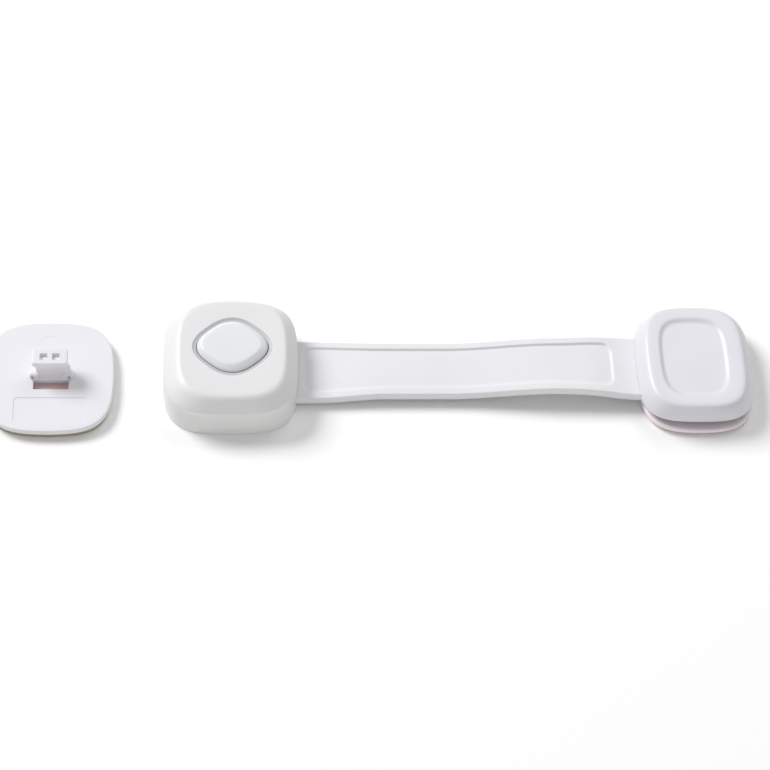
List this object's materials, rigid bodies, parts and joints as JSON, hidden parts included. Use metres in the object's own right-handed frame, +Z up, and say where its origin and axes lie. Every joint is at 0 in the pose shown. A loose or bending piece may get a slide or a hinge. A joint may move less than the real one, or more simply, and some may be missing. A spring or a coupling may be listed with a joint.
{
  "type": "multi-use lock",
  "caption": "Adhesive child-safety lock: a squeeze-release lock head on a flexible strap with a swivelling anchor pad, and a separate hooked catch plate that the head snaps onto.",
  "frame": {"origin": "middle of the whole set on the table: centre of its bounding box, at the undersides of the pads", "axes": "+X along the strap from the lock head to the anchor, +Y away from the viewer, +Z up off the table"},
  "size_m": [0.3134, 0.0572, 0.021],
  "materials": {
    "head_shell": "satin moulded white",
    "decoy_button": "smooth moulded white",
    "side_buttons": "satin moulded white, flush with the shell",
    "strap": "soft flexible moulding, satin",
    "anchor_shell": "cool white, smooth",
    "catch_shell": "cool white, smooth",
    "inner_plastic": "plain moulded",
    "adhesive_foam": "tan foam tape",
    "steel": "bright steel"
  },
  "bodies": {
    "lock_head": {"lock_cover": "head_shell", "lock_base": "inner_plastic", "latch_bridge": "inner_plastic", "strap_keeper": "inner_plastic", "decoy_spring": "steel", "front_spring": "steel", "rear_spring": "steel", "cover_screw_1": "steel", "cover_screw_2": "steel", "cover_screw_3": "steel", "cover_screw_4": "steel", "strap_root": "strap"},
    "decoy": {"decoy_button": "decoy_button"},
    "front_release": {"front_button": "side_buttons", "front_latch": "inner_plastic"},
    "rear_release": {"rear_button": "side_buttons", "rear_latch": "inner_plastic"},
    "strap_middle_1": {"strap_link_1": "strap"},
    "strap_middle_2": {"strap_link_2": "strap"},
    "strap_end": {"strap_paddle": "strap", "anchor_cap": "anchor_shell", "cap_screw_1": "steel", "cap_screw_2": "steel"},
    "anchor_foot": {"anchor_base": "anchor_shell", "swivel_washer": "steel", "swivel_screw": "steel", "anchor_pad": "adhesive_foam"},
    "catch": {"catch_plate": "catch_shell", "catch_pad": "adhesive_foam"}
  },
  "joints": [
    {"name": "decoy_press", "type": "slide", "parent": "lock_head", "child": "decoy", "axis": [0, 0, -1], "range_m": [0, 0.0015], "stiffness_N_per_m": 500, "springref_m": -0.002, "deforming": ["decoy_spring"]},
    {"name": "front_press", "type": "slide", "parent": "lock_head", "child": "front_release", "axis": [0, 1, 0], "range_m": [0, 0.0025], "stiffness_N_per_m": 800, "springref_m": -0.002, "deforming": ["front_spring"]},
    {"name": "rear_press", "type": "slide", "parent": "lock_head", "child": "rear_release", "axis": [0, -1, 0], "range_m": [0, 0.0025], "stiffness_N_per_m": 800, "springref_m": -0.002, "deforming": ["rear_spring"]},
    {"name": "strap_bend_lock", "type": "hinge", "parent": "lock_head", "child": "strap_middle_1", "pos_m": [-0.00553, 0.0004, 0.00365], "axis": [0, 1, 0], "range_deg": [-35, 35], "stiffness_Nm_per_rad": 0.12},
    {"name": "strap_bend_middle", "type": "hinge", "parent": "strap_middle_1", "child": "strap_middle_2", "pos_m": [0.0408, 0.0004, 0.00447], "axis": [0, 1, 0], "range_deg": [-35, 35], "stiffness_Nm_per_rad": 0.12},
    {"name": "strap_bend_anchor", "type": "hinge", "parent": "strap_middle_2", "child": "strap_end", "pos_m": [0.08713, 0.0004, 0.00788], "axis": [0, 1, 0], "range_deg": [-35, 35], "stiffness_Nm_per_rad": 0.12},
    {"name": "anchor_swivel", "type": "hinge", "parent": "strap_end", "child": "anchor_foot", "pos_m": [0.1331, 0.0004, 0.006], "axis": [0, 0, 1], "continuous": true},
    {"name": "catch_slide", "type": "slide", "parent": "lock_head", "child": "catch", "axis": [1, 0, 0], "range_m": [-0.04, 0.012]}
  ]
}
